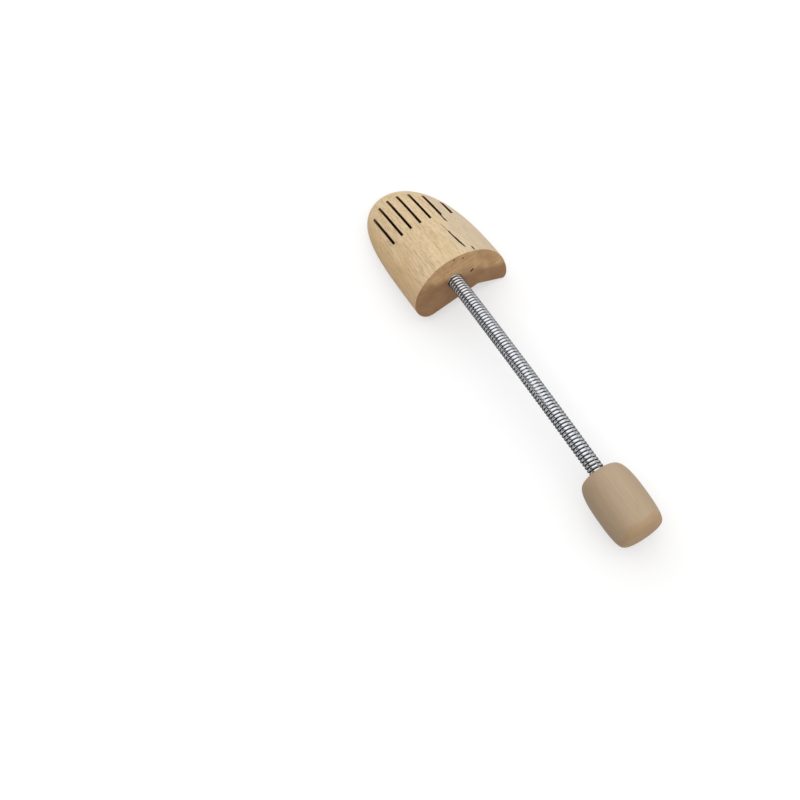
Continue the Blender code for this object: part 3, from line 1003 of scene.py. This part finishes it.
def block_wood():
    """Pale wood, warmer on its inner side as painted shade and orange bounce light, and greyer on its outer
    one as a painted sheen.

    The heel end is darker below a slanting line, as a heartwood tone with painted shade, and has saw marks
    all over.
    """
    shader = Shader("pale_wood", BLOCK_FRAME)
    colour, is_end = wood(shader, "X", BLOCK_TONES, BLOCK_SHARES, BLOCK_PITH)
    is_side = shader.math("SUBTRACT", 1, is_end)
    is_heel_end = shader.span(shader.part("X", "Normal"), *FACING_SPAN)
    saw = shader.span(shader.noise(SAW_SCALES, detail=3, turn=SAW_TURN), *SAW_SPAN)
    level = shader.total(shader.part("Z"), shader.times(shader.part("Y"), HEART_AND_SHADE_SLOPE))
    level = shader.total(level, shader.sway(HEART_AND_SHADE_SWAY_SCALES, HEART_AND_SHADE_SWAY))
    across = shader.total(shader.part("Y"), shader.sway(SIDE_SWAY_SCALES, SIDE_SWAY))
    layers = {
        "hair": shader.times(hair_lines(shader), is_side),
        "saw": shader.times(saw, is_end),
        # A heartwood tone with painted shade, low on the heel end
        "heart_and_shade": shader.times(shader.span(level, *HEART_AND_SHADE_LEVELS, 1, 0), is_heel_end),
        # Painted shade with orange bounce light on the inner side
        "warm_shade": shader.times(shader.span(across, *WARM_SHADE_SIDE, 1, 0), is_side),
        # Painted sheen on the outer side
        "grey_sheen": shader.times(shader.span(across, *GREY_SHEEN_SIDE), is_side),
    }
    for name, where in layers.items():
        colour = shader.tint(colour, where, BLOCK_SHARES[name], BLOCK_TONES[name])
    shader.set(Base_Color=colour, Specular_IOR_Level=0.3)
    return shader.material


def scorched_and_shaded_wood():
    """Wood browned by the saw's heat, or darkened by dust in cracks and pits, and darker still as painted
    shade in these recesses.
    """
    shader = Shader("scorched_and_shaded_wood", BLOCK_FRAME)
    blotches = shader.noise(SCORCHED_AND_SHADED_SCALES, detail=3, roughness=0.6)
    # The dark tones are scorch and dust, with painted shade in the recesses
    colour = shader.mix(shader.span(blotches, *NOISE_SPAN), *SCORCHED_AND_SHADED_TONES)
    shader.set(Base_Color=colour, Roughness=shader.span(blotches, *NOISE_SPAN, *SCORCHED_ROUGHNESSES))
    shader.set(Normal=shader.bump(blotches, WOOD_RELIEF), Specular_IOR_Level=0.2)
    return shader.material


def knob_wood():
    """Greyer wood with a faint grain, darker on its inner side as a darker wood tone with painted shade, and
    warmer where its far end rounds off as an end-grain tone with painted shade.
    """
    shader = Shader("turned_wood", knob_frame())
    colour, _ = wood(shader, "Z", KNOB_TONES, KNOB_SHARES, KNOB_PITH)
    # The darker inner side is a wood tone with painted shade
    across = shader.total(shader.part("Y"), shader.sway(KNOB_INNER_SWAY_SCALES, KNOB_INNER_SWAY))
    # The band at the far end is an end-grain tone with painted shade
    along = shader.total(shader.part("Z"), shader.sway(KNOB_EDGE_SWAY_SCALES, KNOB_EDGE_SWAY))
    edge = [KNOB_LENGTH - reach for reach in KNOB_EDGE_SHADE_REACHES]
    layers = {"inner": shader.span(across, *KNOB_INNER_SHADE_SIDE, 1, 0), "edge": shader.span(along, *edge)}
    for name, where in layers.items():
        colour = shader.tint(colour, where, KNOB_SHARES[name], KNOB_TONES[name])
    shader.set(Base_Color=colour, Specular_IOR_Level=0.35)
    return shader.material


def wire_steel():
    """Bright drawn wire with faint lines along it and dull patches.

    Grime and painted shade lie between the turns, and painted shade darkens the spring's sides.
    """
    shader = Shader("bright_steel")
    around = shader.add("TexCoord", {}).outputs["UV"]
    stretched = shader.add("Mapping", {"Vector": around, "Scale": DRAWN_SCALES}).outputs[0]
    drawn = shader.noise_at(stretched, detail=3, roughness=0.6)
    smear = shader.noise(SMEAR_SCALES, detail=3)
    colour = shader.mix(shader.span(smear, *WIRE_TONE_SPAN), *WIRE_TONES)
    turn = shader.add("SeparateXYZ", {0: around}).outputs["X"]
    outward = shader.math("ABSOLUTE", shader.math("SUBTRACT", turn, 1 / 2))
    # Grime with painted shade on the wire's flanks between the turns
    grime_and_shade = shader.span(outward, *GRIME_AND_SHADE_SPAN, 1, 0)
    colour = shader.tint(colour, grime_and_shade, shader.span(smear, *SMEAR_SPAN, *GRIME_AND_SHADE_SHARES), GRIME_AND_SHADE_TONE)
    # Painted shade on the spring's sides
    side_shade = shader.span(shader.math("ABSOLUTE", shader.part("Y")), *SIDE_SHADE_REACH)
    colour = shader.tint(colour, side_shade, shader.span(smear, *SMEAR_SPAN, *SIDE_SHADE_SHARES), SIDE_SHADE_TONE)
    dull = shader.span(smear, *NOISE_SPAN, *SMEAR_ROUGHNESSES)
    rough = shader.total(shader.times(drawn, DRAWN_ROUGHNESS), dull)
    shader.set(Metallic=1, Base_Color=colour, Roughness=rough, Normal=shader.bump(drawn, WIRE_RELIEF))
    shader.set(Specular_Tint=WIRE_EDGE_TINT)
    return shader.material


def nail_steel():
    """Dull steel with small darker spots."""
    shader = Shader("nail_steel")
    spots = shader.noise(NAIL_SPOT_SCALES, detail=3, roughness=0.65)
    colour = shader.mix(shader.span(spots, *NAIL_TONE_SPAN), *NAIL_TONES)
    rough = shader.span(spots, *NOISE_SPAN, *NAIL_ROUGHNESSES)
    shader.set(Metallic=1, Base_Color=colour, Roughness=rough, Normal=shader.bump(spots, NAIL_RELIEF))
    return shader.material


def seen(shader):
    """1 for the camera and for what metal shows, and 0 for light that falls on other things."""
    rays = shader.add("LightPath", {}).outputs
    sight = [rays[name] for name in ("Is Camera Ray", "Is Glossy Ray", "Is Transmission Ray")]
    return shader.math("MINIMUM", shader.total(*sight), 1)


def floor_paper():
    """Pale paper that looks white, and that throws less light up at the object than white paper would."""
    shader = Shader("pale_floor")
    shader.set(Base_Color=shader.mix(shader.noise(PAPER_SCALES), *PAPER_TONES), Roughness=0.9)
    shader.set(Emission_Color=WHITE, Emission_Strength=shader.times(seen(shader), PAPER_GLOW))
    return shader.material


# The stage
FLOOR_REACH = 3

# The light. A direction's side runs from -1, level towards -Y, through 0, overhead, to 1, level towards +Y
DIM_SIDES = (-0.82, -0.42)
DIM_AND_FULL_LIGHT = (0.04, 1.4)
FADING_SIDES = (0.5, 1)
LIGHT_FADE = -0.95
HORIZON_RISES = (0.2, 0.3)

# The camera, which looks down at 59 degrees
CAMERA_SENSOR_WIDTH = 36
CAMERA_LENS = 47.25
CAMERA_CLIP_START = 0.01
CAMERA_PLACE = (0.3961, -0.0869, 0.5306)
CAMERA_TURN = ((0.4719, -0.7203, 0.5084), (0.8473, 0.5299, -0.0357), (-0.2437, 0.4476, 0.8604))


def add_floor():
    grid = bmesh.new()
    bmesh.ops.create_grid(grid, x_segments=1, y_segments=1, size=FLOOR_REACH)
    mesh = finish_mesh("floor", grid)
    mesh.transform(Matrix.Translation((0, 0, -REST_GAP)))
    floor = add_object("floor", mesh)
    floor.data.materials.append(floor_paper())


def add_world():
    """A soft light that fills the ceiling and comes down on the +Y side, with a pale horizon all round."""
    world = bpy.data.worlds.new("studio")
    world.use_nodes = True
    nodes = Nodes(world.node_tree)
    parts = nodes.add("SeparateXYZ", {0: nodes.add("TexCoord", {}).outputs["Generated"]}).outputs
    squares = [nodes.times(parts[name], parts[name]) for name in "YZ"]
    side = nodes.math("DIVIDE", parts["Y"], nodes.math("SQRT", nodes.total(*squares)))
    room = nodes.span(side, *DIM_SIDES, *DIM_AND_FULL_LIGHT)
    room = nodes.total(room, nodes.span(side, *FADING_SIDES, 0, LIGHT_FADE))
    horizon = nodes.span(parts["Z"], *HORIZON_RISES, 1, 0)
    strength = nodes.total(room, nodes.times(horizon, nodes.math("SUBTRACT", 1, room)))
    background = world.node_tree.nodes["Background"]
    nodes.put(background.inputs["Strength"], strength)
    nodes.put(background.inputs["Color"], WHITE)
    bpy.context.scene.world = world


def add_camera():
    data = bpy.data.cameras.new("camera")
    data.sensor_width = CAMERA_SENSOR_WIDTH
    data.lens = CAMERA_LENS
    data.clip_start = CAMERA_CLIP_START
    camera = add_object("camera", data)
    camera.matrix_world = Matrix.Translation(CAMERA_PLACE) @ Matrix(CAMERA_TURN).to_4x4()
    bpy.context.scene.camera = camera


# The whole


def dress(piece, node, slot, *materials):
    """Gives a piece its materials, and hides the imported node that it replaces. The slot is not used."""
    for material in materials:
        piece.data.materials.append(material)
    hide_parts(node)


def build():
    block, block_nail = toe_block()
    knob, knob_nail = heel_knob()
    front, rear = spring_halves()
    steel = wire_steel()
    nails = nail_steel()
    dress(block, "toe_block", "block_wood")
    dress(block_nail, "toe_spring_nail", "nail_steel", nails)
    dress(knob, "heel_knob", "knob_wood", knob_wood())
    dress(knob_nail, "knob_spring_nail", "nail_steel", nails)
    dress(front, "spiral_spring", "spring_steel", steel)
    dress(rear, "spiral_spring", "spring_steel", steel)
    for piece, body in ((block, "toe"), (block_nail, "toe"), (knob, "heel"), (knob_nail, "heel")):
        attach(piece, body)
    start, middle, end = [line_at(FREE_LENGTH * share)[0] for share in (0, 1 / 2, 1)]
    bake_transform(front)
    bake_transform(rear)


build()
add_floor()
add_world()
add_camera()
bpy.context.scene.view_settings.view_transform = "Standard"
